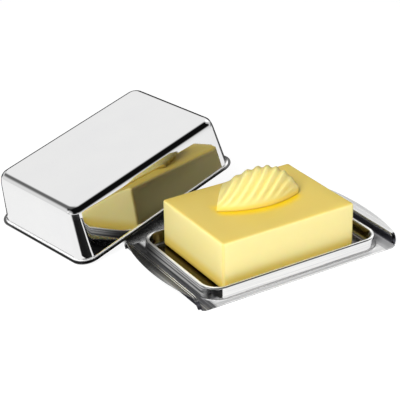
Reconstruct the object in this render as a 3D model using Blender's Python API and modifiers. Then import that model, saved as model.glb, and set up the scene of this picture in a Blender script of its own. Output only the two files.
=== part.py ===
"""Pressed steel butter dish: a tray with two turned-up grips, a lift-off cover and a block of butter.

Metres, +Z up. The origin lies on the table under the middle of the tray. +X runs along the tray
to its right-hand grip, +Y to its back. The cover is off the tray: its left edge stands on the
table, and its near long edge lies on the back corner of the left-hand grip.
"""
import math

import bmesh
import bpy
from mathutils import Matrix, Vector

# Sheet steel, the same for both pressings
SHEET = 0.0008
SEAT_GAP = 0.0003            # between two pieces that touch

# Butter, about a 250 g block, with a ribbed curl on top
BUTTER_LENGTH = 0.108
BUTTER_WIDTH = 0.0805
BUTTER_HEIGHT = 0.0362
BUTTER_ROUND = 0.0018
BUTTER_SHIFT = -0.002        # the block stands a little left of the tray's middle

# The curl: leaning arches that stand side by side along a bowed front foot
CURL_LENGTH = 0.0635         # straight from end to end of the front foot
CURL_BOW = 0.0085            # by which the foot bows out to the front
CURL_LEAN = math.radians(33) # between an arch and the straight across the curl
CURL_HEIGHT = 0.0222         # of the arches in the middle, and at the two ends
CURL_LEFT_HEIGHT = 0.0075
CURL_RIGHT_HEIGHT = 0.0034
CURL_SPAN = 0.037            # of the arches in the middle, and at the two ends
CURL_LEFT_SPAN = 0.040
CURL_RIGHT_SPAN = 0.005
CURL_RIBS = 8
CURL_RIB_DEPTH = 0.0013
CURL_RIB_SWEEP = 2.0         # ribs by which a rib moves along from its foot to the top
CURL_YAW = math.radians(-7.1)
CURL_PLACE_X = -0.0011       # middle of the foot's ends, from the middle of the block
CURL_PLACE_Y = -0.0023

# Tray: a flat well, a raised ridge round it, and a flat ledge that the cover's rim sits on
WELL_END_MARGIN = 0.0161     # from the block to the crest of the ridge, at each end
WELL_SIDE_MARGIN = 0.0066    # and at each side
RIDGE_HEIGHT = 0.009
RIDGE_CORNER = 0.0125        # plan radius of the crest
RIDGE_SHOULDER = 0.0015
RIDGE_FOOT = 0.0012
RIDGE_DRAFT = math.radians(6)
WELL_FOOT = 0.003
WELL_DRAFT = math.radians(12)
LEDGE_SPARE = 0.0003         # ledge left showing outside the cover's rim
LEDGE_END_EXTRA = 0.0025     # the ledge is wider by this at the grips
TRAY_CORNER = 0.001

# Grips: the sheet folds up at each end and bends out again
RISER_HEIGHT = 0.0076
RISER_LEAN = math.radians(4)
RISER_INSET = 0.0017         # a riser is shorter by this at each end of its crease
FOLD_RADIUS = 0.0012
CREASE_RADIUS = 0.0012
GRIP_REACH = 0.0079          # from the crease to the outer edge, at the middle of the arc
GRIP_TIP = 0.0006            # and at the two ends of the arc
GRIP_SLOPE = math.radians(3.5)

# Cover: a deep-drawn shell with a flared rim
COVER_HEIGHT = 0.0412
COVER_SHOULDER = 0.006
COVER_DRAFT = math.radians(6.5)
COVER_TOP_CORNER = 0.0085    # plan radius at the foot of the shoulder
COVER_RIM_CORNER = 0.012     # and at the rim
COVER_CLEARANCE = 0.0005     # between the cover and the foot of the ridge, when it is on
FLARE_RADIUS = 0.0015
FLANGE_WIDTH = 0.001

# How the cover lies
COVER_YAW = math.radians(11.1)
COVER_REST_ALONG = 0.0384    # from its left edge to the point that lies on the grip
COVER_REST_INSET = 0.0019    # from the end of the grip's arc to that point

CORNER_STEPS = 6             # facets of a quarter turn in plan
BEND_STEPS = 4               # facets of a bend in section
GRIP_STEPS = 14              # facets along a grip
RIB_STEPS = 6                # facets across a rib of the curl
ARCH_STEPS = 14              # facets over an arch of the curl


def drawn_wall(drop, shoulder, foot, draft):
    """Section of a drawn wall: a rounded shoulder, a sloping wall and a hollow foot.

    Points are (offset outwards, height); the first is the flat top's edge at (0, 0) and the
    last the flat foot's edge at (reach, -drop).
    """
    both = shoulder + foot
    straight = (drop - both + both * math.sin(draft)) / math.cos(draft)
    reach = both * math.cos(draft) + straight * math.sin(draft)
    turn = math.pi / 2 - draft
    angles = [turn * step / BEND_STEPS for step in range(BEND_STEPS + 1)]
    section = [(shoulder * math.sin(a), shoulder * math.cos(a) - shoulder) for a in angles]
    section += [(reach - foot * math.sin(a), foot - drop - foot * math.cos(a)) for a in reversed(angles)]
    return section


def grip_section():
    """Section of an end: the fold at (0, 0), the riser, and the crease where the grip begins."""
    turn = math.pi / 2 - RISER_LEAN
    bends = FOLD_RADIUS * (1 - math.cos(turn)) + CREASE_RADIUS * (math.cos(GRIP_SLOPE) - math.cos(turn))
    straight = (RISER_HEIGHT - bends) / math.sin(turn)
    section = []
    for step in range(BEND_STEPS + 1):
        a = turn * step / BEND_STEPS
        section.append((FOLD_RADIUS * math.sin(a), FOLD_RADIUS * (1 - math.cos(a))))
    top_x = section[-1][0] + straight * math.cos(turn) + CREASE_RADIUS * math.sin(turn)
    top_z = section[-1][1] + straight * math.sin(turn) - CREASE_RADIUS * math.cos(turn)
    for step in range(BEND_STEPS + 1):
        a = turn + (GRIP_SLOPE - turn) * step / BEND_STEPS
        section.append((top_x - CREASE_RADIUS * math.sin(a), top_z + CREASE_RADIUS * math.cos(a)))
    return section


# The crest of the ridge is the loop that every other loop of both pressings is offset from
CREST_X = BUTTER_LENGTH / 2 + WELL_END_MARGIN
CREST_Y = BUTTER_WIDTH / 2 + WELL_SIDE_MARGIN

RIDGE_OUTSIDE = drawn_wall(RIDGE_HEIGHT, RIDGE_SHOULDER, RIDGE_FOOT, RIDGE_DRAFT)
RIDGE_INSIDE = drawn_wall(RIDGE_HEIGHT, RIDGE_SHOULDER, WELL_FOOT, WELL_DRAFT)
RIDGE_REACH = RIDGE_OUTSIDE[-1][0]
CREST_Z = SHEET + RIDGE_HEIGHT

FLARE_OFFSET = RIDGE_REACH + COVER_CLEARANCE + SHEET
RIM_OFFSET = FLARE_OFFSET + FLANGE_WIDTH
LEDGE_OFFSET = RIM_OFFSET + LEDGE_SPARE
FOLD_X = CREST_X + LEDGE_OFFSET + LEDGE_END_EXTRA
TRAY_Y = CREST_Y + LEDGE_OFFSET
RISER_Y = TRAY_Y - TRAY_CORNER

GRIP_SECTION = grip_section()
CREASE_X = FOLD_X + GRIP_SECTION[-1][0]
CREASE_Y = RISER_Y - RISER_INSET
CREASE_Z = SHEET + GRIP_SECTION[-1][1]

# The arc of a grip's outer edge, through its two ends and its middle
ARC_RISE = GRIP_REACH - GRIP_TIP
ARC_RADIUS = (CREASE_Y ** 2 + ARC_RISE ** 2) / (2 * ARC_RISE)

BUTTER_FLOOR = SHEET + SEAT_GAP


def grip_edge(y):
    """How far the grip reaches out from its crease at y."""
    return GRIP_REACH - ARC_RADIUS + math.sqrt(ARC_RADIUS ** 2 - y ** 2)


def grip_height(out):
    """Height of a grip's upper face, at a distance out from its crease."""
    return CREASE_Z + out * math.tan(GRIP_SLOPE)


def plan_loop(half_x, half_y, radius, end_steps):
    """A rounded rectangle in plan, anticlockwise, its two short sides in end_steps pieces."""
    points = []
    corners = [(1, -1, -90), (1, 1, 0), (-1, 1, 90), (-1, -1, 180)]
    for number, (side_x, side_y, start) in enumerate(corners):
        middle = Vector((side_x * (half_x - radius), side_y * (half_y - radius)))
        for step in range(CORNER_STEPS + 1):
            angle = math.radians(start + 90 * step / CORNER_STEPS)
            points.append(middle + radius * Vector((math.cos(angle), math.sin(angle))))
        if number % 2 == 0:
            run = 2 * (half_y - radius)
            for step in range(1, end_steps):
                points.append(points[-step] + Vector((0, side_x * run * step / end_steps)))
    return points


def add_ring(bm, half_x, half_y, radius, z, end_steps=1):
    return [bm.verts.new((p.x, p.y, z)) for p in plan_loop(half_x, half_y, radius, end_steps)]


def skin(bm, rings, closed=True):
    """Loft faces between rings of equal count."""
    for inner, outer in zip(rings, rings[1:]):
        count = len(inner)
        for i in range(count if closed else count - 1):
            j = (i + 1) % count
            bm.faces.new((inner[i], outer[i], outer[j], inner[j]))


def finish(bm, name, material, collection, thickness=None):
    """Turn a bmesh into a named object; a sheet gets its thickness on the side away from its normals."""
    mesh = bpy.data.meshes.new(name)
    bm.to_mesh(mesh)
    bm.free()
    mesh.shade_smooth()
    mesh.set_sharp_from_angle(angle=math.radians(40))
    mesh.materials.append(material)
    obj = bpy.data.objects.new(name, mesh)
    collection.objects.link(obj)
    if thickness:
        solidify = obj.modifiers.new("Sheet", "SOLIDIFY")
        solidify.thickness = thickness
        solidify.offset = -1
        solidify.use_even_offset = True
    return obj


def add_material(name, colour, roughness, metallic):
    material = bpy.data.materials.new(name)
    material.use_nodes = True
    shader = material.node_tree.nodes["Principled BSDF"]
    shader.inputs["Base Color"].default_value = (*colour, 1)
    shader.inputs["Roughness"].default_value = roughness
    shader.inputs["Metallic"].default_value = metallic
    return material


def add_grip(bm, fold_verts, side):
    """Bend the sheet up and out from the fold: rows of points, each along the grip."""
    steps = range(GRIP_STEPS + 1)
    share = [2 * step / GRIP_STEPS - 1 for step in steps]
    rows = [fold_verts]
    for out, up in GRIP_SECTION[1:]:
        half = RISER_Y - RISER_INSET * up / GRIP_SECTION[-1][1]
        x = side * (FOLD_X + out)
        rows.append([bm.verts.new((x, side * half * s, SHEET + up)) for s in share])
    for part in (1 / 3, 2 / 3, 1):
        row = []
        for s in share:
            y = CREASE_Y * s
            out = part * grip_edge(y)
            row.append(bm.verts.new((side * (CREASE_X + out), side * y, grip_height(out))))
        rows.append(row)
    skin(bm, rows, closed=False)


def build_tray(material, collection):
    bm = bmesh.new()
    section = [(-out, CREST_Z + up) for out, up in reversed(RIDGE_INSIDE)]
    section += [(out, CREST_Z + up) for out, up in RIDGE_OUTSIDE[1:]]
    rings = []
    for out, z in section:
        rings.append(add_ring(bm, CREST_X + out, CREST_Y + out, RIDGE_CORNER + out, z, GRIP_STEPS))
    rings.append(add_ring(bm, FOLD_X, TRAY_Y, TRAY_CORNER, SHEET, GRIP_STEPS))
    skin(bm, rings)
    bm.faces.new(rings[0])
    ledge = rings[-1]
    quarter = CORNER_STEPS + 1
    half = len(ledge) // 2
    right = ledge[quarter - 1:quarter + GRIP_STEPS]
    left = ledge[half + quarter - 1:half + quarter + GRIP_STEPS]
    add_grip(bm, right, 1)
    add_grip(bm, left, -1)
    return finish(bm, "tray", material, collection, SHEET)


def cover_corner(out, shoulder_out):
    """Plan radius of the cover's corners: even with the shoulder's bend, then growing to the rim."""
    if out < shoulder_out:
        return COVER_TOP_CORNER - shoulder_out + out
    share = (out - shoulder_out) / (RIM_OFFSET - shoulder_out)
    return COVER_TOP_CORNER + share * (COVER_RIM_CORNER - COVER_TOP_CORNER)


def build_cover(material, collection):
    """The shell in its own frame: the rim's underside at z = 0, the middle of the rim at the origin."""
    bm = bmesh.new()
    wall = drawn_wall(COVER_HEIGHT - SHEET, COVER_SHOULDER, FLARE_RADIUS, COVER_DRAFT)
    section = [(FLARE_OFFSET - wall[-1][0] + out, COVER_HEIGHT + up) for out, up in wall]
    section.append((RIM_OFFSET, SHEET))
    rings = []
    for out, z in section:
        corner = cover_corner(out, section[BEND_STEPS][0])
        rings.append(add_ring(bm, CREST_X + out, CREST_Y + out, corner, z))
    skin(bm, rings)
    bm.faces.new(rings[0])
    return finish(bm, "cover", material, collection, SHEET)


def cover_place():
    """Where the cover lies: tilted so that its left edge meets the table and its near edge the grip."""
    rim_x = CREST_X + RIM_OFFSET
    rim_y = CREST_Y + RIM_OFFSET
    rest_y = CREASE_Y - COVER_REST_INSET
    rest_out = grip_edge(rest_y)
    rest_z = grip_height(rest_out)
    tilt = math.asin(rest_z / COVER_REST_ALONG)
    turn = Matrix.Rotation(COVER_YAW, 3, "Z") @ Matrix.Rotation(-tilt, 3, "Y")
    rest_on_cover = Vector((COVER_REST_ALONG - rim_x, -rim_y, 0))
    rest_on_grip = Vector((-CREASE_X - rest_out, rest_y, rest_z + SEAT_GAP))
    place = turn.to_4x4()
    place.translation = rest_on_grip - turn @ rest_on_cover
    return place


def build_butter_block(material, collection):
    bm = bmesh.new()
    bmesh.ops.create_cube(bm, size=1)
    bmesh.ops.scale(bm, vec=(BUTTER_LENGTH, BUTTER_WIDTH, BUTTER_HEIGHT), verts=bm.verts)
    bmesh.ops.translate(bm, vec=(0, 0, BUTTER_HEIGHT / 2), verts=bm.verts)
    block = finish(bm, "butter_block", material, collection)
    bevel = block.modifiers.new("Rounded", "BEVEL")
    bevel.width = BUTTER_ROUND
    bevel.segments = 3
    return block


def along_curl(u, left, middle, right):
    """A size of the curl at u, 0 at its left end and 1 at its right: a curve through three values."""
    return left + (right - left) * u + (middle - (left + right) / 2) * 4 * u * (1 - u)


def build_butter_curl(material, collection):
    """A ribbed shaving: leaning half-oval arches along its length, with ribs that sweep up over it."""
    bm = bmesh.new()
    stations = CURL_RIBS * RIB_STEPS
    rings = []
    for station in range(stations + 1):
        u = station / stations
        half_span = along_curl(u, CURL_LEFT_SPAN, CURL_SPAN, CURL_RIGHT_SPAN) / 2
        height = along_curl(u, CURL_LEFT_HEIGHT, CURL_HEIGHT, CURL_RIGHT_HEIGHT)
        foot_x = CURL_LENGTH * (u - 0.5)
        foot_y = along_curl(u, 0, -CURL_BOW, 0)
        ring = []
        for step in range(ARCH_STEPS + 1):
            angle = math.pi * step / ARCH_STEPS
            sweep = CURL_RIB_SWEEP * math.sin(min(angle, math.pi / 2))
            groove = 0.5 - 0.5 * math.cos(2 * math.pi * (CURL_RIBS * u - sweep))
            shrink = 1 - CURL_RIB_DEPTH / CURL_HEIGHT * groove * math.sin(angle)
            back = half_span * (1 - shrink * math.cos(angle))
            x = foot_x + back * math.sin(CURL_LEAN)
            y = foot_y + back * math.cos(CURL_LEAN)
            ring.append(bm.verts.new((x, y, height * shrink * math.sin(angle))))
        rings.append(ring)
    skin(bm, rings)
    bm.faces.new(rings[0])
    bm.faces.new(reversed(rings[-1]))
    bmesh.ops.recalc_face_normals(bm, faces=bm.faces)
    return finish(bm, "butter_curl", material, collection)


def add_axis(name, place, collection):
    axis = bpy.data.objects.new(name, None)
    axis.matrix_world = place
    collection.objects.link(axis)
    return axis


def main():
    for obj in list(bpy.data.objects):
        bpy.data.objects.remove(obj, do_unlink=True)
    collection = bpy.data.collections.new("butter_dish")
    bpy.context.scene.collection.children.link(collection)

    steel = add_material("polished_steel", (0.78, 0.78, 0.79), 0.08, 1)
    butter = add_material("butter", (0.93, 0.80, 0.42), 0.45, 0)

    build_tray(steel, collection)

    cover_axis = add_axis("cover_lift_axis", cover_place(), collection)
    cover = build_cover(steel, collection)
    cover.parent = cover_axis

    butter_place = Matrix.Translation((BUTTER_SHIFT, 0, BUTTER_FLOOR))
    butter_axis = add_axis("butter_lift_axis", butter_place, collection)
    block = build_butter_block(butter, collection)
    block.parent = butter_axis
    curl = build_butter_curl(butter, collection)
    curl.parent = butter_axis
    curl.location = (CURL_PLACE_X, CURL_PLACE_Y, BUTTER_HEIGHT + SEAT_GAP)
    curl.rotation_euler = (0, 0, CURL_YAW)


main()
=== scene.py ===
"""Looks of the butter dish: a polished steel tray and cover, and a block of butter with a ribbed curl."""
import math

import bmesh
import bpy
from mathutils import Matrix, Vector


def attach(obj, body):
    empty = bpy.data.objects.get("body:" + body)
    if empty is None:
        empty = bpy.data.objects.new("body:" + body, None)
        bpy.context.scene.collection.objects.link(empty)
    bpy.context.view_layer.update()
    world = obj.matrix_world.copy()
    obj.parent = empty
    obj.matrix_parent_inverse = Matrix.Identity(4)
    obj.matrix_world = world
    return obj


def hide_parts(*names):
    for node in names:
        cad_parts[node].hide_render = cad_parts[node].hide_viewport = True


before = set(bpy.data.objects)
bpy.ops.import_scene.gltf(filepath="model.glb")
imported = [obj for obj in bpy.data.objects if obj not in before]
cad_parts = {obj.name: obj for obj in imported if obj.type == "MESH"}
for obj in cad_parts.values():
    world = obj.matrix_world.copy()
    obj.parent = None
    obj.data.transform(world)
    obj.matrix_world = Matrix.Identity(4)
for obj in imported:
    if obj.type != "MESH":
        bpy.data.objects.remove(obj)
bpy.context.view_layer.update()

MM = 0.001

# Driving dimensions in metres, the same as the solids have
SHEET = 0.0008
SEAT_GAP = 0.0003
BUTTER_SIZE = Vector((0.108, 0.0805, 0.0362))
BUTTER_SHIFT = -0.002
WELL_END_MARGIN = 0.0161
WELL_SIDE_MARGIN = 0.0066
RIDGE_HEIGHT = 0.009
RIDGE_CORNER = 0.0125
RIDGE_SHOULDER = 0.0015
RIDGE_FOOT = 0.0012
RIDGE_DRAFT = math.radians(6)
WELL_FOOT = 0.003
WELL_DRAFT = math.radians(12)
LEDGE_SPARE = 0.0003
LEDGE_END_EXTRA = 0.0025
TRAY_CORNER = 0.001
RISER_HEIGHT = 0.0076
RISER_STEEP = math.radians(86)
RISER_INSET = 0.0017
FOLD_RADIUS = 0.0012
GRIP_REACH = 0.0079
GRIP_TIP = 0.0006
GRIP_SLOPE = math.radians(3.5)
COVER_HEIGHT = 0.0412
COVER_SHOULDER = 0.006
COVER_DRAFT = math.radians(6.5)
COVER_CLEARANCE = 0.0005
FLARE_RADIUS = 0.0015
FLANGE_WIDTH = 0.001
COVER_YAW = math.radians(11.1)
COVER_REST_ALONG = 0.0384
COVER_REST_INSET = 0.0019
CURL_LENGTH = 0.0635
CURL_BOW = 0.0085
CURL_LEAN = math.radians(33)
CURL_HEIGHTS = (0.0075, 0.0222, 0.0034)
CURL_SPANS = (0.040, 0.037, 0.005)
CURL_RIBS = 8
CURL_RIB_SWEEP = 2.0
CURL_YAW = math.radians(-7.1)
CURL_PLACE = Vector((-0.0011, -0.0023))

# Finer shapes that only the looks have
BROKEN_EDGE = 0.0002
BUTTER_ROUND = 0.0022
CURL_RIB_DEPTH = 0.0017
EASING_HEIGHT = 0.0343
EASING_DRAFT = math.radians(14)
EASING_RUN = 0.0017
COVER_FOOT_CORNER = 0.0115
COVER_TOP_CORNER = 0.0080
LIP_RADIUS = 0.0023
GRIP_ROLL = 4.0
GRIP_END_START = 0.044
GRIP_END_DROOP = 0.30
GRIP_END_SPREAD = 0.0018
GRIP_END_ROUND = 0.0042
GRIP_END_DROP = 0.88
GRIP_END_DRAW = 0.35
LUMP_SIZE = 0.035
LUMP_HEIGHT = 0.0006
LUMP_LEVEL = 0.6
RIB_START = 0.15
RIB_RUN = 0.45
FULL_RIB_HEIGHT = 0.012


def tangent(radius, draft):
    """From a sharp corner between a flat and a drafted wall to where its rounding starts."""
    return radius * math.tan((math.pi / 2 - draft) / 2)


CREST_X = BUTTER_SIZE.x / 2 + WELL_END_MARGIN
CREST_Y = BUTTER_SIZE.y / 2 + WELL_SIDE_MARGIN
CREST_Z = SHEET + RIDGE_HEIGHT
CREST_OUT = tangent(RIDGE_SHOULDER, RIDGE_DRAFT)
CREST_IN = tangent(RIDGE_SHOULDER, WELL_DRAFT)
RIDGE_OUT = CREST_OUT + RIDGE_HEIGHT * math.tan(RIDGE_DRAFT)
RIDGE_REACH = RIDGE_OUT + tangent(RIDGE_FOOT, RIDGE_DRAFT)
FLARE_OUT = RIDGE_REACH + COVER_CLEARANCE + SHEET
RIM_OUT = FLARE_OUT + FLANGE_WIDTH
LEDGE_X = CREST_X + RIM_OUT + LEDGE_SPARE + LEDGE_END_EXTRA
LEDGE_Y = CREST_Y + RIM_OUT + LEDGE_SPARE
RISER_Y = LEDGE_Y - TRAY_CORNER
CREASE_Y = RISER_Y - RISER_INSET
ARC_RISE = GRIP_REACH - GRIP_TIP
ARC_RADIUS = (CREASE_Y ** 2 + ARC_RISE ** 2) / (2 * ARC_RISE)
BUTTER_TOP = SHEET + SEAT_GAP + BUTTER_SIZE.z

# Studio
CAMERA_TURN = math.radians(30.637)
CAMERA_RISE = math.radians(26.478)
CAMERA_ROLL = math.radians(-1.533)
CAMERA_DISTANCE = 0.968
CAMERA_AIM = Vector((-0.0168, 0.0537, 0.02))
CAMERA_SENSOR = 36
CAMERA_LENS = 119.34
LAMP_AIM = Vector((0, 0.02, 0.03))

# Fineness of the meshes
TINY = 0.00002
SLOPE_STEP = 0.05
LEVEL_FACE = 0.9
SHEET_SMOOTH = math.radians(38)
CURL_SMOOTH = math.radians(60)
SHARP_EDGE = math.radians(60)
CORNER_STEPS = 18
BEND_STEPS = 8
END_CUTS = 23
GRIP_ROWS = 5
GRIP_END_CUTS = 6
BLOCK_EDGE_STEPS = 5
BLOCK_CUTS = 11
CURL_STATIONS = CURL_RIBS * 18
CURL_STEPS = 56


# Working in edit mode

def add_piece(add, name, **settings):
    """Add a primitive, selected alone, and name it."""
    bpy.ops.object.select_all(action="DESELECT")
    add(**settings)
    piece = bpy.context.object
    piece.name = name
    piece.data.name = name
    return piece


def select(kind, test):
    """In edit mode, select only the verts, edges or faces that pass the test."""
    bpy.context.tool_settings.mesh_select_mode = (kind == "VERT", kind == "EDGE", kind == "FACE")
    mesh = bpy.context.edit_object.data
    bm = bmesh.from_edit_mesh(mesh)
    bm.select_mode = {kind}
    for group in (bm.faces, bm.edges, bm.verts):
        for element in group:
            element.select = False
    for element in {"VERT": bm.verts, "EDGE": bm.edges, "FACE": bm.faces}[kind]:
        if test(element):
            element.select_set(True)
    bm.select_flush_mode()
    bmesh.update_edit_mesh(mesh)


def middle(edge):
    return (edge.verts[0].co + edge.verts[1].co) / 2


def level(edge, z):
    """True for an edge that lies flat at height z."""
    return all(abs(vert.co.z - z) < TINY for vert in edge.verts)


def folded(edge):
    """True for an edge where the sheet changes its slope."""
    slopes = [face.normal.z for face in edge.link_faces]
    return len(slopes) == 2 and abs(slopes[0] - slopes[1]) > SLOPE_STEP


def round_edges(offset, segments):
    bpy.ops.mesh.bevel(offset_type="OFFSET", offset=offset, segments=segments, profile=0.5,
                       affect="EDGES", clamp_overlap=True)


def round_corners(radius, segments):
    bpy.ops.mesh.bevel(offset_type="OFFSET", offset=radius, segments=segments, profile=0.5,
                       affect="VERTICES", clamp_overlap=False)


def push_edges(x, y, z):
    bpy.ops.mesh.extrude_edges_move(TRANSFORM_OT_translate={"value": (x, y, z)})


def push_in(thickness, depth):
    """Inset the selected faces evenly, and lift the inner ones."""
    bpy.ops.mesh.inset(thickness=thickness, depth=depth, use_even_offset=True, use_boundary=True)


def finish_mesh(piece, *modifiers):
    """Back to object mode: shade all but sharp edges smooth, then apply each (name, type, settings)."""
    bpy.ops.object.mode_set(mode="OBJECT")
    bpy.ops.object.shade_smooth_by_angle(angle=SHEET_SMOOTH)
    for name, kind, settings in modifiers:
        modifier = piece.modifiers.new(name, kind)
        for key, value in settings.items():
            setattr(modifier, key, value)
        bpy.ops.object.modifier_apply(modifier=name)


SHEET_WALL = ("Sheet", "SOLIDIFY", {"thickness": SHEET, "offset": -1})
BROKEN_EDGES = ("Broken edges", "BEVEL", {"width": BROKEN_EDGE, "segments": 3, "limit_method": "ANGLE",
                                          "angle_limit": SHARP_EDGE})
FLAT_NORMALS = ("Flat normals", "WEIGHTED_NORMAL", {"keep_sharp": True, "weight": 60})


# Tray: the ridge and the well are pushed out of a rounded plate, and a square ledge is joined on

def plate(half_x, half_y, radius):
    """In edit mode, add a flat plate with rounded corners and cut up its two short sides."""
    bpy.ops.mesh.primitive_plane_add(size=2, location=(0, 0, SHEET))
    bpy.ops.transform.resize(value=(half_x, half_y, 1), center_override=(0, 0, SHEET))
    round_corners(radius, CORNER_STEPS)
    select("EDGE", lambda edge: edge.is_boundary and level(edge, SHEET) and edge.calc_length() > half_y
           and abs(abs(middle(edge).x) - half_x) < TINY)
    bpy.ops.mesh.subdivide(number_cuts=END_CUTS)


def from_crest(point):
    """Distance outward from the crest of the ridge, seen from above."""
    x = max(0, abs(point.x) - CREST_X + RIDGE_CORNER)
    y = max(0, abs(point.y) - CREST_Y + RIDGE_CORNER)
    return math.hypot(x, y) - RIDGE_CORNER


def bend(radius, start, end):
    """Moves (out, up) round a bend from one slope to another, step by step."""
    angles = [start + (end - start) * step / BEND_STEPS for step in range(BEND_STEPS + 1)]
    side = radius if end > start else -radius
    return [(side * (math.sin(b) - math.sin(a)), side * (math.cos(a) - math.cos(b)))
            for a, b in zip(angles, angles[1:])]


def grip_edge(y):
    """How far the grip reaches out from its crease at y."""
    return GRIP_REACH - ARC_RADIUS + math.sqrt(ARC_RADIUS ** 2 - y ** 2)


def grip_moves():
    """Moves (out, up) from the end of the ledge through the fold and the riser to the crease."""
    fold = bend(FOLD_RADIUS, 0, RISER_STEEP)
    crease = bend(FOLD_RADIUS, RISER_STEEP, GRIP_SLOPE)
    riser = RISER_HEIGHT - sum(up for out, up in fold + crease)
    return fold + [(riser / math.tan(RISER_STEEP), riser)] + crease


CREASE_X = LEDGE_X + sum(out for out, up in grip_moves())


def fold_grip(side):
    """Fold one short end of the ledge up and out into a grip with an arc for its edge."""

    def ledge_end(edge):
        return edge.is_boundary and all(abs(vert.co.x - side * LEDGE_X) < TINY for vert in edge.verts)

    select("EDGE", ledge_end)
    bpy.ops.mesh.subdivide(number_cuts=1)
    select("EDGE", lambda edge: ledge_end(edge) and abs(middle(edge).y) > RISER_Y - GRIP_END_ROUND)
    bpy.ops.mesh.subdivide(number_cuts=GRIP_END_CUTS)
    select("EDGE", ledge_end)
    half = RISER_Y
    for out, up in grip_moves():
        push_edges(side * out, 0, up)
        narrower = half - RISER_INSET * up / RISER_HEIGHT
        bpy.ops.transform.resize(value=(1, narrower / half, 1), center_override=(0, 0, 0))
        half = narrower
    push_edges(side * GRIP_TIP, 0, GRIP_TIP * math.tan(GRIP_SLOPE))
    bm = bmesh.from_edit_mesh(bpy.context.edit_object.data)
    columns = sorted({round(vert.co.y, 6) for vert in bm.verts if vert.select})
    tip_x = max(side * vert.co.x for vert in bm.verts if vert.select)
    for y in columns:
        select("VERT", lambda vert: abs(vert.co.y - y) < TINY and side * vert.co.x > tip_x - TINY)
        out = grip_edge(y) - GRIP_TIP
        bpy.ops.transform.translate(value=(side * out, 0, out * math.tan(GRIP_SLOPE)))
    crease_x = tip_x - GRIP_TIP
    select("EDGE", lambda edge: abs(edge.verts[0].co.x - edge.verts[1].co.x) > GRIP_TIP - TINY
           and side * middle(edge).x > crease_x)
    bpy.ops.mesh.subdivide(number_cuts=GRIP_ROWS)
    shape_grip(side, crease_x)


def shape_grip(side, crease_x):
    """Roll a grip's edge down, draw its two ends out and down, and round them off to the ledge."""
    mesh = bpy.context.edit_object.data
    bm = bmesh.from_edit_mesh(mesh)
    for vert in bm.verts:
        out = side * vert.co.x - crease_x
        if side * vert.co.x < LEDGE_X + TINY:
            continue
        end = min(1, max(0, (abs(vert.co.y) - GRIP_END_START) / (CREASE_Y - GRIP_END_START))) ** 2
        share = max(0, out) / grip_edge(min(abs(vert.co.y), CREASE_Y))
        height = vert.co.z
        vert.co.z -= GRIP_ROLL * max(0, out) ** 2 + GRIP_END_DROOP * end * (vert.co.z - SHEET)
        vert.co.x += side * GRIP_END_SPREAD * end * share
        to_end = RISER_Y - RISER_INSET * min(1, (height - SHEET) / RISER_HEIGHT) - abs(vert.co.y)
        rounding = 1 - math.sqrt(1 - min(1, max(0, 1 - to_end / GRIP_END_ROUND)) ** 2)
        vert.co.z -= GRIP_END_DROP * rounding * (vert.co.z - SHEET)
        vert.co.x -= GRIP_END_DRAW * rounding * (vert.co.x - side * LEDGE_X)
    bmesh.update_edit_mesh(mesh)


def make_tray():
    tray = add_piece(bpy.ops.mesh.primitive_plane_add, "tray_shell", size=1, location=(0, 0, 0))
    bpy.ops.object.mode_set(mode="EDIT")
    bpy.ops.mesh.delete(type="VERT")
    plate(CREST_X + RIDGE_OUT, CREST_Y + RIDGE_OUT, RIDGE_CORNER + RIDGE_OUT)
    select("FACE", lambda face: True)
    push_in(RIDGE_OUT - CREST_OUT, RIDGE_HEIGHT)
    push_in(CREST_OUT + CREST_IN, 0)
    push_in(RIDGE_HEIGHT * math.tan(WELL_DRAFT), -RIDGE_HEIGHT)
    plate(LEDGE_X, LEDGE_Y, TRAY_CORNER)
    select("EDGE", lambda edge: not edge.is_boundary and edge.calc_length() > 2 * LEDGE_X - TINY)
    bpy.ops.mesh.delete(type="EDGE")
    select("EDGE", lambda edge: edge.is_boundary or not edge.link_faces)
    bpy.ops.mesh.bridge_edge_loops()
    select("EDGE", lambda edge: level(edge, CREST_Z) and folded(edge))
    round_edges(CREST_IN - TINY, BEND_STEPS)
    select("EDGE", lambda edge: level(edge, SHEET) and folded(edge) and from_crest(middle(edge)) < 0)
    round_edges(tangent(WELL_FOOT, WELL_DRAFT), BEND_STEPS)
    select("EDGE", lambda edge: level(edge, SHEET) and folded(edge) and from_crest(middle(edge)) > 0)
    round_edges(tangent(RIDGE_FOOT, RIDGE_DRAFT), BEND_STEPS)
    fold_grip(1)
    fold_grip(-1)
    finish_mesh(tray, SHEET_WALL, BROKEN_EDGES, FLAT_NORMALS)
    return tray


# Cover: a tapered box, eased in below its rounded shoulder, its foot flared into a narrow rim

def cover_place():
    """Where the cover lies: its left edge on the table and its near edge on the back of a grip."""
    rest_y = CREASE_Y - COVER_REST_INSET
    out = grip_edge(rest_y)
    height = SHEET + RISER_HEIGHT + out * math.tan(GRIP_SLOPE)
    tilt = math.asin(height / COVER_REST_ALONG)
    turn = Matrix.Rotation(COVER_YAW, 4, "Z") @ Matrix.Rotation(-tilt, 4, "Y")
    on_cover = Vector((COVER_REST_ALONG - CREST_X - RIM_OUT, -CREST_Y - RIM_OUT, 0))
    on_grip = Vector((-CREASE_X - out, rest_y, height + SEAT_GAP))
    return Matrix.Translation(on_grip - turn @ on_cover) @ turn


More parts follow.
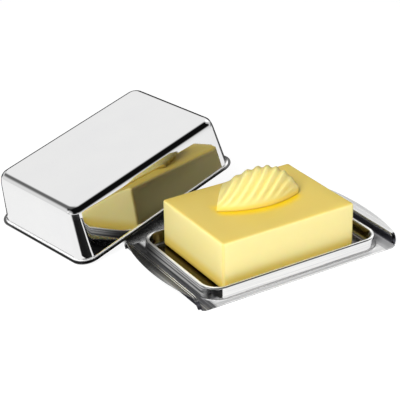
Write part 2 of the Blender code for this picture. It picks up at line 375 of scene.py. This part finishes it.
def make_cover():
    foot_out = FLARE_OUT - tangent(FLARE_RADIUS, COVER_DRAFT)
    ease_out = foot_out - (EASING_HEIGHT - SHEET) * math.tan(COVER_DRAFT)
    top_out = ease_out - (COVER_HEIGHT - EASING_HEIGHT) * math.tan(EASING_DRAFT)
    sharp_out = foot_out - (COVER_HEIGHT - SHEET) * math.tan(COVER_DRAFT)
    flat_out = sharp_out - tangent(COVER_SHOULDER, COVER_DRAFT)
    half_x, half_y = CREST_X + foot_out, CREST_Y + foot_out

    def taper(out, z):
        """Draw the selected loop in from the foot's size."""
        ratio = ((CREST_X + out) / half_x, (CREST_Y + out) / half_y, 1)
        bpy.ops.transform.resize(value=ratio, center_override=(0, 0, z))

    def tighten(out, z):
        """Draw the rounded corners of the loop at z nearer to the sharp ones, the more the higher."""
        share = (z - SHEET) / (COVER_HEIGHT - SHEET)
        ratio = 1 + share * (COVER_TOP_CORNER / COVER_FOOT_CORNER - 1)
        x, y = CREST_X + out, CREST_Y + out
        for side_x, side_y in ((1, 1), (1, -1), (-1, 1), (-1, -1)):
            select("VERT", lambda vert: abs(vert.co.z - z) < TINY
                   and side_x * vert.co.x > x - COVER_FOOT_CORNER - TINY
                   and side_y * vert.co.y > y - COVER_FOOT_CORNER - TINY)
            bpy.ops.transform.resize(value=(ratio, ratio, 1), center_override=(side_x * x, side_y * y, z))

    cover = add_piece(bpy.ops.mesh.primitive_cube_add, "cover_shell", size=2,
                      location=(0, 0, (SHEET + EASING_HEIGHT) / 2),
                      scale=(half_x, half_y, (EASING_HEIGHT - SHEET) / 2))
    bpy.ops.object.transform_apply(location=True, rotation=True, scale=True)
    bpy.ops.object.mode_set(mode="EDIT")
    select("FACE", lambda face: face.normal.z > LEVEL_FACE)
    rise = (0, 0, COVER_HEIGHT - EASING_HEIGHT)
    bpy.ops.mesh.extrude_region_move(TRANSFORM_OT_translate={"value": rise})
    taper(top_out, COVER_HEIGHT)
    select("EDGE", lambda edge: level(edge, EASING_HEIGHT))
    taper(ease_out, EASING_HEIGHT)
    select("FACE", lambda face: face.normal.z < -LEVEL_FACE)
    bpy.ops.mesh.delete(type="FACE")
    select("EDGE", lambda edge: abs(edge.verts[0].co.z - edge.verts[1].co.z) > EASING_RUN)
    round_edges(COVER_FOOT_CORNER, CORNER_STEPS)
    tighten(ease_out, EASING_HEIGHT)
    tighten(top_out, COVER_HEIGHT)
    select("EDGE", lambda edge: level(edge, COVER_HEIGHT))
    round_edges(top_out - flat_out, 2 * BEND_STEPS)
    select("EDGE", lambda edge: level(edge, EASING_HEIGHT))
    round_edges(EASING_RUN, BEND_STEPS)
    select("EDGE", lambda edge: edge.is_boundary)
    push_edges(0, 0, 0)
    taper(RIM_OUT, SHEET)
    select("EDGE", lambda edge: level(edge, SHEET) and folded(edge))
    round_edges(tangent(LIP_RADIUS, COVER_DRAFT), BEND_STEPS)
    finish_mesh(cover, SHEET_WALL, BROKEN_EDGES, FLAT_NORMALS)
    heights = cover.data.attributes.new("own_height", "FLOAT", "POINT")
    for vert, height in zip(cover.data.vertices, heights.data):
        height.value = vert.co.z
    cover.matrix_world = cover_place()
    bpy.ops.object.transform_apply(location=True, rotation=True, scale=True)
    return cover


# Butter: a cut block with soft edges, and a ribbed shaving on top of it

def make_block():
    block = add_piece(bpy.ops.mesh.primitive_cube_add, "butter_piece", size=1, scale=BUTTER_SIZE,
                      location=(BUTTER_SHIFT, 0, BUTTER_TOP - BUTTER_SIZE.z / 2))
    bpy.ops.object.transform_apply(location=True, rotation=True, scale=True)
    bpy.ops.object.mode_set(mode="EDIT")
    bpy.ops.mesh.select_all(action="SELECT")
    round_edges(BUTTER_ROUND, BLOCK_EDGE_STEPS)
    bpy.ops.mesh.select_all(action="SELECT")
    bpy.ops.mesh.subdivide(number_cuts=BLOCK_CUTS)
    lumps = bpy.data.textures.new("butter_lumps", "CLOUDS")
    lumps.noise_scale = LUMP_SIZE
    lumps.noise_depth = 2
    finish_mesh(block, ("Uneven", "DISPLACE", {"texture": lumps, "texture_coords": "LOCAL",
                                               "strength": LUMP_HEIGHT, "mid_level": LUMP_LEVEL}))
    bpy.ops.object.shade_smooth()
    return block


def along_curl(u, left, mid, right):
    """A size of the curl at u, 0 at its left end and 1 at its right: a curve through three values."""
    return left + (right - left) * u + (mid - (left + right) / 2) * 4 * u * (1 - u)


def curl_point(u, over):
    """A point of the shaving: u runs along its foot, over from its front foot to its back foot."""
    angle = math.pi * over
    half_span = along_curl(u, *CURL_SPANS) / 2
    height = along_curl(u, *CURL_HEIGHTS)
    phase = CURL_RIBS * u - CURL_RIB_SWEEP * math.sin(min(angle, math.pi / 2))
    flute = math.sin(math.pi * phase) ** 2
    start = min(1, max(0, (angle - RIB_START) / RIB_RUN))
    eased = start * start * (3 - 2 * start)
    depth = CURL_RIB_DEPTH * flute * eased * min(1, height / FULL_RIB_HEIGHT)
    shrink = 1 - depth / max(CURL_HEIGHTS)
    back = half_span * (1 - shrink * math.cos(angle))
    return Vector((CURL_LENGTH * (u - 0.5) + back * math.sin(CURL_LEAN),
                   along_curl(u, 0, -CURL_BOW, 0) + back * math.cos(CURL_LEAN),
                   height * shrink * math.sin(angle)))


def make_curl():
    """The shaving is lofted point by point, because its ribs sweep over it in a curve."""
    place = Matrix.Translation((BUTTER_SHIFT + CURL_PLACE.x, CURL_PLACE.y, BUTTER_TOP + SEAT_GAP))
    place = place @ Matrix.Rotation(CURL_YAW, 4, "Z")
    bm = bmesh.new()
    rows = []
    for station in range(CURL_STATIONS + 1):
        u = station / CURL_STATIONS
        points = [curl_point(u, step / CURL_STEPS) for step in range(CURL_STEPS + 1)]
        rows.append([bm.verts.new(place @ point) for point in points])
    for left, right in zip(rows, rows[1:]):
        for step in range(CURL_STEPS):
            bm.faces.new((left[step], right[step], right[step + 1], left[step + 1]))
        bm.faces.new((left[-1], right[-1], right[0], left[0]))
    bm.faces.new(rows[0])
    bm.faces.new(reversed(rows[-1]))
    bmesh.ops.recalc_face_normals(bm, faces=bm.faces)
    mesh = bpy.data.meshes.new("butter_shaving")
    bm.to_mesh(mesh)
    bm.free()
    curl = bpy.data.objects.new("butter_shaving", mesh)
    bpy.context.scene.collection.objects.link(curl)
    bpy.ops.object.select_all(action="DESELECT")
    curl.select_set(True)
    bpy.context.view_layer.objects.active = curl
    bpy.ops.object.shade_smooth_by_angle(angle=CURL_SMOOTH)
    return curl


# Shaders

class Socket:
    """A shader value that can be used in sums; each sum adds its Math node."""

    def __init__(self, finish, source):
        self.finish = finish
        self.source = source

    def math(self, operation, first, second):
        return self.finish.node("ShaderNodeMath", {"operation": operation}, {0: first, 1: second})["Value"]

    def __add__(self, other):
        return self.math("ADD", self, other)

    def __radd__(self, other):
        return self.math("ADD", other, self)

    def __sub__(self, other):
        return self.math("SUBTRACT", self, other)

    def __rsub__(self, other):
        return self.math("SUBTRACT", other, self)

    def __mul__(self, other):
        return self.math("MULTIPLY", self, other)

    def __rmul__(self, other):
        return self.math("MULTIPLY", other, self)

    def __neg__(self):
        return self.math("SUBTRACT", 0.0, self)

    def __abs__(self):
        return self.math("ABSOLUTE", self, 0.0)

    def at_least(self, other):
        return self.math("MAXIMUM", self, other)


class Finish:
    """A node tree that nodes are added to in one way."""

    def __init__(self, tree):
        self.tree = tree

    def node(self, kind, settings=None, inputs=None):
        """Add a node, set it up, then fill or link its sockets; gives its outputs by name."""
        node = self.tree.nodes.new(kind)
        for key, value in (settings or {}).items():
            setattr(node, key, value)
        self.fill(node, inputs or {})
        return {output.name: Socket(self, output) for output in node.outputs if output.enabled}

    def fill(self, node, inputs):
        for key, value in inputs.items():
            if isinstance(value, Socket):
                self.tree.links.new(value.source, node.inputs[key])
            else:
                node.inputs[key].default_value = value

    def place(self):
        """Object coordinates, whole and as x, y and z."""
        whole = self.node("ShaderNodeTexCoord")["Object"]
        return (whole, *self.split(whole))

    def split(self, vector):
        """The x, y and z of a vector."""
        parts = self.node("ShaderNodeSeparateXYZ", None, {"Vector": vector})
        return parts["X"], parts["Y"], parts["Z"]

    def vector(self, operation, *vectors):
        """A Vector Math node on one or two vectors."""
        return self.node("ShaderNodeVectorMath", {"operation": operation}, dict(enumerate(vectors)))

    def noise(self, where, scale, detail, rough=0.5, stretch=None):
        if stretch:
            where = self.node("ShaderNodeMapping", None, {"Vector": where, "Scale": stretch})["Vector"]
        return self.node("ShaderNodeTexNoise", None, {"Vector": where, "Scale": scale, "Detail": detail,
                                                      "Roughness": rough})["Fac"]

    def smooth(self, value, low, high):
        """0 at low, 1 at high, and a soft step between."""
        return self.node("ShaderNodeMapRange", {"interpolation_type": "SMOOTHSTEP"},
                         {"Value": value, "From Min": low, "From Max": high})["Result"]

    def band(self, value, rise, fall):
        """1 between two soft steps, each from where it is 0 to where it is 1."""
        return self.smooth(value, *rise) * self.smooth(value, *fall)

    def blend(self, share, first, second):
        """Mix two colours."""
        return self.node("ShaderNodeMix", {"data_type": "RGBA"}, {0: share, 6: first, 7: second})["Result"]

    def bump(self, height, depth):
        inputs = {"Strength": 1.0, "Distance": depth, "Height": height}
        return self.node("ShaderNodeBump", None, inputs)["Normal"]

    def diffuse(self, colour):
        return self.node("ShaderNodeBsdfDiffuse", None, {"Color": colour})["BSDF"]

    def background(self, colour):
        return self.node("ShaderNodeBackground", None, {"Color": colour})["Background"]

    def mix(self, share, first, second):
        """Mix two shaders."""
        return self.node("ShaderNodeMixShader", None, {0: share, 1: first, 2: second})["Shader"]


def new_material(name):
    material = bpy.data.materials.new(name)
    material.use_nodes = True
    return material, Finish(material.node_tree), material.node_tree.nodes["Principled BSDF"]


def grey(shade, blue=0.0):
    """A grey, a little bluer or, below 0, a little warmer."""
    return (shade, shade, shade + blue, 1)


# Steel of the cover

def smudges(finish, whole):
    """Faint smudges on polished sheet."""
    return finish.smooth(finish.noise(whole, scale=90, detail=4, rough=0.6), 0.5, 0.75)


def cover_steel():
    """Mirror-polished sheet: hardly any waves, a few wipe marks, a painted highlight round its lip, painted
    shade on its rim.
    """
    material, finish, shader = new_material("cover_steel")
    whole = finish.place()[0]
    clouds = finish.noise(whole, scale=38, detail=2)
    strokes = finish.noise(whole, scale=14, detail=4, rough=0.7, stretch=(9, 160, 60))
    wipes = finish.smooth(strokes, 0.60, 0.78)
    waves = finish.noise(whole, scale=22, detail=1)
    height = finish.node("ShaderNodeAttribute", {"attribute_name": "own_height"})["Fac"]
    # Painted highlight: a pale, less metallic line round the lip
    lip_highlight = finish.band(height, (SHEET + 0.3 * MM, SHEET + 0.6 * MM), (LIP_RADIUS, LIP_RADIUS - 0.6 * MM))
    # Painted shade: the rim at the foot goes near black
    rim_shade = finish.smooth(height, SHEET + 0.3 * MM, SHEET + 0.1 * MM)
    tint = finish.blend(clouds, grey(0.615, 0.005), grey(0.645, -0.005))
    tint = finish.blend(lip_highlight, tint, grey(0.88))
    tint = finish.blend(rim_shade, tint, grey(0.10))
    finish.fill(shader, {"Base Color": tint,
                         "Metallic": 1 - 0.6 * lip_highlight,
                         "Roughness": 0.035 + 0.03 * smudges(finish, whole) + 0.04 * wipes,
                         "Normal": finish.bump(waves, 0.12 * MM)})
    return material


# Steel of the tray

def past_crest(finish, x, y):
    """Distance outward from the crest of the ridge, the same as from_crest gives for a point."""
    over_x = (abs(x) - (CREST_X - RIDGE_CORNER)).at_least(0.0)
    over_y = (abs(y) - (CREST_Y - RIDGE_CORNER)).at_least(0.0)
    over = finish.node("ShaderNodeCombineXYZ", None, {"X": over_x, "Y": over_y})["Vector"]
    return finish.vector("LENGTH", over)["Value"] - RIDGE_CORNER


class TrayZones:
    """The parts of the tray, each as a mask from 0 to 1."""

    def __init__(self, finish, x, y, z):
        self.finish = finish
        self.ridge_out = past_crest(finish, x, y)
        self.flat_parts(z)
        self.end_parts(x, z)
        self.left_end(x, y)
        self.painted_highlights(x, y, z)

    def flat_parts(self, z):
        """The ledge outside the ridge and the well inside it."""
        low = 1 - self.finish.smooth(z, SHEET + 0.5 * MM, SHEET + 1.5 * MM)
        apart = self.finish.smooth(self.ridge_out, RIDGE_REACH - 1.4 * MM, RIDGE_REACH - 0.6 * MM)
        self.ledge = low * apart
        self.well = low * (1 - apart)

    def end_parts(self, x, z):
        """Both short ends from the crest outward, and there the upright folds and the grips."""
        grip_z = SHEET + RISER_HEIGHT
        self.ends = self.finish.smooth(abs(x), CREST_X + 0.4 * MM, CREST_X + 1.2 * MM)
        self.outside = self.finish.smooth(abs(x), LEDGE_X + 0.2 * MM, LEDGE_X + 1.2 * MM)
        self.high = self.finish.smooth(z, grip_z - 2.6 * MM, grip_z - 1.4 * MM)
        self.fold = self.outside * (1 - self.high)
        self.grip = self.outside * self.high
        self.crease_out = abs(x) - CREASE_X

    def left_end(self, x, y):
        """Masks for the left end's painted reflections and shade: the left end without the ridge's near
        corner, its crest, and its far part beside the cover.
        """
        smooth = self.finish.smooth
        straight = smooth(y, 3 * MM - CREST_Y, 10 * MM - CREST_Y)
        past_ridge = smooth(self.ridge_out, RIDGE_REACH - 0.6 * MM, RIDGE_REACH)
        left = smooth(self.ridge_out, 0.6 * MM, 1.2 * MM) * smooth(x, 2 * MM - CREST_X, -CREST_X - 0.5 * MM)
        self.left = left * (straight + past_ridge - straight * past_ridge)
        self.left_crest = smooth(x, 3 * MM - CREST_X, -CREST_X)
        self.far = smooth(y - 26 * MM * (1 - self.outside), -24 * MM, 10 * MM)

    def painted_highlights(self, x, y, z):
        """Painted highlights: the crest, strongest at the ends; a line below it; two lines along the left
        grip's crease.
        """
        smooth, band = self.finish.smooth, self.finish.band
        near_end = smooth(abs(x), CREST_X - 10 * MM, CREST_X - 3 * MM)
        self.crest = smooth(z, CREST_Z - 0.6 * MM, CREST_Z - 0.2 * MM) * (0.3 + 0.7 * near_end)
        self.under_crest = band(z, (CREST_Z - 2.2 * MM, CREST_Z - 1.8 * MM),
                                (CREST_Z - 1.0 * MM, CREST_Z - 1.4 * MM))
        inner = band(self.crease_out, (-0.4 * MM, -0.2 * MM), (0.3 * MM, 0.1 * MM))
        outer = band(self.crease_out, (1.2 * MM, 1.4 * MM), (1.8 * MM, 1.6 * MM))
        along = smooth(abs(y), CREASE_Y - 2 * MM, CREASE_Y - 7 * MM)
        self.crease = (inner + 0.8 * outer) * self.left * self.high * along


def tray_tint(finish, zone, whole, lines):
    """The tray's colour: pale lines on plain steel, then each part in its own grey, with painted shade,
    highlights and reflections over it.
    """
    tint = finish.blend(lines, grey(0.57, 0.005), grey(0.67, -0.005))
    # Painted shade: the well floor is near black, in place of shadow and the darkened butter foot it mirrors
    tint = finish.blend(zone.well, tint, (0.11, 0.10, 0.09, 1))
    side_ledge = finish.blend(lines, grey(0.66, 0.005), grey(0.90, -0.005))
    tint = finish.blend(zone.ledge, tint, finish.blend(zone.ends, side_ledge, grey(0.46, 0.01)))
    # Painted highlight: a pale, less metallic crest
    tint = finish.blend(zone.crest, tint, grey(0.92, -0.01))
    # Painted reflection: dark and pale streaks over the left end, but not its grip
    streaks = finish.noise(whole, scale=1, detail=2, stretch=(420, 6, 420))
    streaked_reflection = finish.blend(finish.smooth(streaks, 0.40, 0.60), grey(0.10, 0.005), grey(0.74, -0.01))
    tint = finish.blend(zone.left * (1 - zone.grip), tint, streaked_reflection)
    # Painted highlight: a white line below the crest on the left end
    tint = finish.blend(zone.left * zone.under_crest, tint, grey(1))
    # Painted shade: the upright folds go near black
    tint = finish.blend(zone.fold, tint, grey(0.05, 0.01))
    satin = finish.blend(lines, grey(0.66), grey(0.78, -0.005))
    # Painted shade and reflection: the left grip is dark, near black towards its crease
    left_grip_shade = finish.blend(lines, grey(0.13), grey(0.34, -0.005))
    left_grip_shade = finish.blend(finish.smooth(zone.crease_out, 6.8 * MM, 2.2 * MM), left_grip_shade, grey(0.05))
    tint = finish.blend(zone.grip, tint, finish.blend(zone.left, satin, left_grip_shade))
    # Painted highlights: two white lines along the left grip's crease
    tint = finish.blend(zone.crease, tint, grey(0.95))
    # Painted shade: the far part of the left end, beside the cover, goes near black
    shade = zone.far * (0.92 * zone.left + 0.6 * zone.left_crest * (1 - zone.left))
    return finish.blend(shade, tint, grey(0.02))


def tray_steel():
    """Pressed sheet: polished, with drawing lines along its edges, satin ledges and grips; painted shade in
    the folds, and painted reflections, highlights and shade on the left end.
    """
    material, finish, shader = new_material("tray_steel")
    whole, x, y, z = finish.place()
    zone = TrayZones(finish, x, y, z)
    long_lines = finish.noise(whole, scale=1, detail=3, rough=0.6, stretch=(9, 900, 900))
    end_lines = finish.noise(whole, scale=1, detail=3, rough=0.6, stretch=(900, 9, 900))
    lines = finish.smooth(long_lines + zone.ends * (end_lines - long_lines), 0.32, 0.68)
    # Less metallic: the ledges, and the left end and its grip, so that their painted reflections and shade
    # show
    diffuse_share = 0.75 * zone.ledge * (1 - zone.left) + 0.6 * zone.left + 0.15 * zone.left * zone.grip
    satin = 0.20 * zone.grip + 0.25 * zone.ledge + 0.10 * zone.well
    # The crest and the crease lines are less metallic below, so that their painted highlights show
    finish.fill(shader, {"Base Color": tray_tint(finish, zone, whole, lines),
                         "Metallic": 1 - diffuse_share - 0.6 * zone.crest - zone.crease,
                         "Roughness": 0.05 + 0.05 * smudges(finish, whole) + satin,
                         "Normal": finish.bump(lines, 0.02 * MM)})
    return material


# Butter

def curl_foot_shade(finish, x, y):
    """Painted contact shade and glow on the block, deep yellow along the front foot of the curl."""
    east = x - (BUTTER_SHIFT + CURL_PLACE.x)
    north = y - CURL_PLACE.y
    along = math.cos(CURL_YAW) * east + math.sin(CURL_YAW) * north
    across = math.cos(CURL_YAW) * north - math.sin(CURL_YAW) * east
    bow = CURL_BOW * (1 - (4 / CURL_LENGTH ** 2) * along * along)
    ahead = -across - bow
    foot_shade = finish.band(ahead, (-14 * MM, -6 * MM), (9.5 * MM, 1.5 * MM))
    return foot_shade * finish.smooth(abs(along), 36 * MM, 28 * MM)


def top_tint_and_shades(finish, colour, normal, x, y):
    """Over the block: a deeper yellow top, lighter towards the right; painted contact shade and glow round
    the curl; painted shade on the upright corners.
    """
    facing_x, facing_y, facing_z = finish.split(normal)
    # A darker, deeper yellow top, lighter towards the right
    top_tint_and_foot_shade = finish.blend(finish.smooth(x, -20 * MM, 50 * MM), (0.69, 0.52, 0.110, 1), (0.79, 0.60, 0.125, 1))
    # Painted contact shade and glow: deep yellow along the curl's front foot
    top_tint_and_foot_shade = finish.blend(curl_foot_shade(finish, x, y), top_tint_and_foot_shade, (0.86, 0.60, 0.015, 1))
    colour = finish.blend(finish.smooth(facing_z, 0.45, 0.98), colour, top_tint_and_foot_shade)
    # Painted shade: the upright corners are deeper yellow
    corner = finish.smooth(abs(facing_x * facing_y), 0.05, 0.45)
    return finish.blend(0.9 * corner, colour, (0.82, 0.66, 0.235, 1))


def butter(name, heights, pale, deep, overlay=None):
    """Butter, paler on ridges and darker in hollows, and darker golden towards its foot, both painted shade;
    an overlay of colour and painted shade may go over it.
    """
    material, finish, shader = new_material(name)
    foot_z, deep_z, pale_z = heights
    whole, x, y, z = finish.place()
    geometry = finish.node("ShaderNodeNewGeometry")
    mottle = finish.noise(whole, scale=70, detail=4, rough=0.6)
    streaks = finish.noise(whole, scale=110, detail=4, rough=0.6, stretch=(0.35, 1, 3))
    # Painted shade: paler on ridges, darker in hollows
    ridges = finish.smooth(geometry["Pointiness"] + 0.02 * mottle, 0.47, 0.56)
    ridge_and_hollow_shade = finish.blend(ridges, deep, pale)
    # Painted shade: darker golden towards the foot
    golden_foot_shade = finish.blend(finish.smooth(z, foot_z, deep_z), (0.55, 0.34, 0.04, 1), (0.88, 0.67, 0.15, 1))
    colour = finish.blend(finish.smooth(z, deep_z, pale_z), golden_foot_shade, ridge_and_hollow_shade)
    if overlay:
        colour = overlay(finish, colour, geometry["Normal"], x, y)
    finish.fill(shader, {"Base Color": colour,
                         "Roughness": 0.36 + 0.12 * streaks,
                         "Normal": finish.bump(mottle + 0.6 * streaks, 0.15 * MM),
                         "Subsurface Weight": 0.3,
                         "Subsurface Scale": 3 * MM,
                         "Subsurface Radius": (1.0, 0.62, 0.18),
                         "IOR": 1.46})
    return material


def block_butter():
    heights = (0.5 * MM, 6.2 * MM, 13.5 * MM)
    return butter("butter", heights, (0.93, 0.81, 0.36, 1), (0.91, 0.78, 0.31, 1), top_tint_and_shades)


def curl_butter():
    heights = (BUTTER_TOP - 0.7 * MM, BUTTER_TOP + 1.9 * MM, BUTTER_TOP + 4.7 * MM)
    return butter("butter_shaved", heights, (0.91, 0.80, 0.33, 1), (0.76, 0.62, 0.18, 1))


# The studio: a pale table with black cards on it, bright panels all round but for dark gaps, soft lamps

def make_table():
    """White to the camera and in the steel, with the object's soft shadow and a painted shadow beside the
    tray; plain pale to other light.
    """
    table = add_piece(bpy.ops.mesh.primitive_plane_add, "table", size=8, location=(0, 0, -SEAT_GAP))
    material = bpy.data.materials.new("pale_table")
    material.use_nodes = True
    finish = Finish(material.node_tree)
    finish.tree.nodes.clear()
    path = finish.node("ShaderNodeLightPath")
    mirrored = path["Is Glossy Ray"] + path["Is Transmission Ray"]
    openness = finish.node("ShaderNodeAmbientOcclusion", {"samples": 16}, {"Distance": 0.15})["AO"]
    # Painted shadow: near black where the table is much occluded, right of the tray's left edge, under the
    # leaning cover
    beside_tray = finish.smooth(finish.place()[1], -LEDGE_X - 0.4 * MM, -LEDGE_X + 4.6 * MM)
    painted_shadow = beside_tray * finish.smooth(openness, 0.36, 0.17)
    glow = finish.node("ShaderNodeEmission", None, {"Color": 0.90 + 0.24 * mirrored})["Emission"]
    white = finish.node("ShaderNodeAddShader", None, {0: finish.diffuse(grey(0.20)), 1: glow})["Shader"]
    shaded = finish.mix(painted_shadow, white, finish.diffuse(grey(0.03)))
    surface = finish.mix(path["Is Camera Ray"] + mirrored, finish.diffuse(grey(0.86)), shaded)
    finish.node("ShaderNodeOutputMaterial", None, {"Surface": surface})
    table.data.materials.append(material)


def surroundings(finish):
    """What the steel shows, by direction: bright panels, and dark overhead and where the shoulders look."""
    x, y, z = finish.split(finish.node("ShaderNodeTexCoord")["Generated"])
    smooth, band = finish.smooth, finish.band
    wide = 0.85 * smooth(x, -0.26, 0.10) + 0.15 * smooth(x, -0.80, -0.35)
    panel = wide * smooth(y, -0.08, 0.32) * smooth(z, 0.30, 0.54)
    left = smooth(z, 0.62, 0.34) * smooth(x, -0.30, -0.60) * smooth(y, -0.10, 0.30)
    to_corner = -0.643 * x - 0.766 * y
    near_corner = smooth(to_corner, 0.86, 0.95) * smooth(z, 0.08, 0.18)
    front = smooth(z, 0.42, 0.02) * smooth(y, 0.10, -0.30) * (1 - near_corner)
    left_wall = smooth(x, -0.68, -0.90) * smooth(y, 0.35, 0.10)
    right_wall = smooth(x, 0.50, 0.62) * band(y, (-0.30, -0.18), (0.50, 0.40))
    back_wall = smooth(y, 0.80, 0.90) * smooth(x, 0.08, -0.02) * smooth(z, 0.48, 0.40)
    walls = (left_wall + right_wall + back_wall) * smooth(z, 0.02, 0.20)
    return 0.006 + 1.26 * panel + 1.08 * left + 1.08 * front + 0.8 * walls


def make_studio():
    """The world: white to the camera, panels in the steel, and plain soft light for all else."""
    world = bpy.data.worlds.new("studio")
    bpy.context.scene.world = world
    world.use_nodes = True
    finish = Finish(world.node_tree)
    finish.tree.nodes.clear()
    path = finish.node("ShaderNodeLightPath")
    mirror = finish.background(surroundings(finish))
    unseen = finish.mix(path["Is Glossy Ray"], finish.background(grey(0.216)), mirror)
    shown = finish.mix(path["Is Camera Ray"], unseen, finish.background(grey(1)))
    finish.node("ShaderNodeOutputWorld", None, {"Surface": shown})


def add_lamp(name, place, size, power):
    """A round soft lamp that shines at the butter; the steel doesn't show it."""
    lamp = bpy.data.lights.new(name, "AREA")
    lamp.shape = "DISK"
    lamp.size = size
    lamp.energy = power
    body = bpy.data.objects.new(name, lamp)
    bpy.context.scene.collection.objects.link(body)
    body.location = place
    body.rotation_euler = (Vector(place) - LAMP_AIM).to_track_quat("Z", "Y").to_euler()
    body.visible_glossy = False


def add_card(name, corners, fade=None):
    """A black card on the table, for dark in the steel; only steel shows it.

    Its corners are near left, near right, far left and far right. With a fade it thins out to the left:
    it is clear where the way from its near left corner has the first x, and black from the second.
    """
    card = add_piece(bpy.ops.mesh.primitive_plane_add, name, size=1)
    for vert, corner in zip(card.data.vertices, corners):
        vert.co = (*corner, SEAT_GAP / 2)
    material, finish, shader = new_material(name)
    finish.fill(shader, {"Base Color": grey(0.008)})
    if fade:
        away = finish.vector("SUBTRACT", finish.place()[0], (*corners[0], 0))["Vector"]
        east = finish.split(finish.vector("NORMALIZE", away)["Vector"])[0]
        finish.fill(shader, {"Alpha": finish.smooth(east, *fade)})
    card.data.materials.append(material)
    card.visible_camera = False
    card.visible_diffuse = False
    card.visible_shadow = False


def add_camera():
    """At the photograph's place, looking at the dish from its front left."""
    flat = math.cos(CAMERA_RISE)
    back = Vector((-math.sin(CAMERA_TURN) * flat, -math.cos(CAMERA_TURN) * flat, math.sin(CAMERA_RISE)))
    right = Vector((0, 0, 1)).cross(back).normalized()
    up = back.cross(right)
    side = right * math.cos(CAMERA_ROLL) + up * math.sin(CAMERA_ROLL)
    top = up * math.cos(CAMERA_ROLL) - right * math.sin(CAMERA_ROLL)
    data = bpy.data.cameras.new("photo_camera")
    data.sensor_width = CAMERA_SENSOR
    data.lens = CAMERA_LENS
    data.clip_start = 0.01
    camera = bpy.data.objects.new("photo_camera", data)
    bpy.context.scene.collection.objects.link(camera)
    turn = Matrix((side, top, back)).transposed().to_4x4()
    camera.matrix_world = Matrix.Translation(CAMERA_AIM + CAMERA_DISTANCE * back) @ turn
    bpy.context.scene.camera = camera


def dress(piece, material, body, node):
    piece.data.materials.clear()
    piece.data.materials.append(material)
    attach(piece, body)
    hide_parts(node)


dress(make_tray(), tray_steel(), "tray", "tray")
dress(make_cover(), cover_steel(), "cover", "cover")
dress(make_block(), block_butter(), "butter", "butter_block")
dress(make_curl(), curl_butter(), "butter", "butter_curl")

make_table()
make_studio()
add_card("corner_card", ((-0.1245, 0.0439), (-0.1075, 0.0364), (-3.2, -0.3), (0.02, -3.9)), (-0.99, -0.84))
# Painted shade: a black card under the left grip, in place of the shadow there, seen only in the steel
add_card("grip_shadow_card", ((-0.090, -0.045), (-0.079, -0.045), (-0.106, 0.048), (-0.079, 0.048)))
add_card("ridge_card", ((-0.084, -0.047), (-0.0625, -0.0535), (-0.120, -0.070), (-0.0615, -0.088)))
add_card("back_card", ((-0.141, 0.146), (0.040, 0.146), (-1.2, 4.0), (0.040, 4.0)))
add_card("side_card", ((0.034, 0.078), (2.0, 0.300), (0.034, 4.0), (2.0, 4.0)))
add_lamp("key", place=(-0.74, -0.48, 0.82), size=0.7, power=16)
add_lamp("fill", place=(0.40, -0.95, 0.45), size=0.7, power=2.0)
add_camera()
bpy.context.scene.view_settings.view_transform = "Standard"
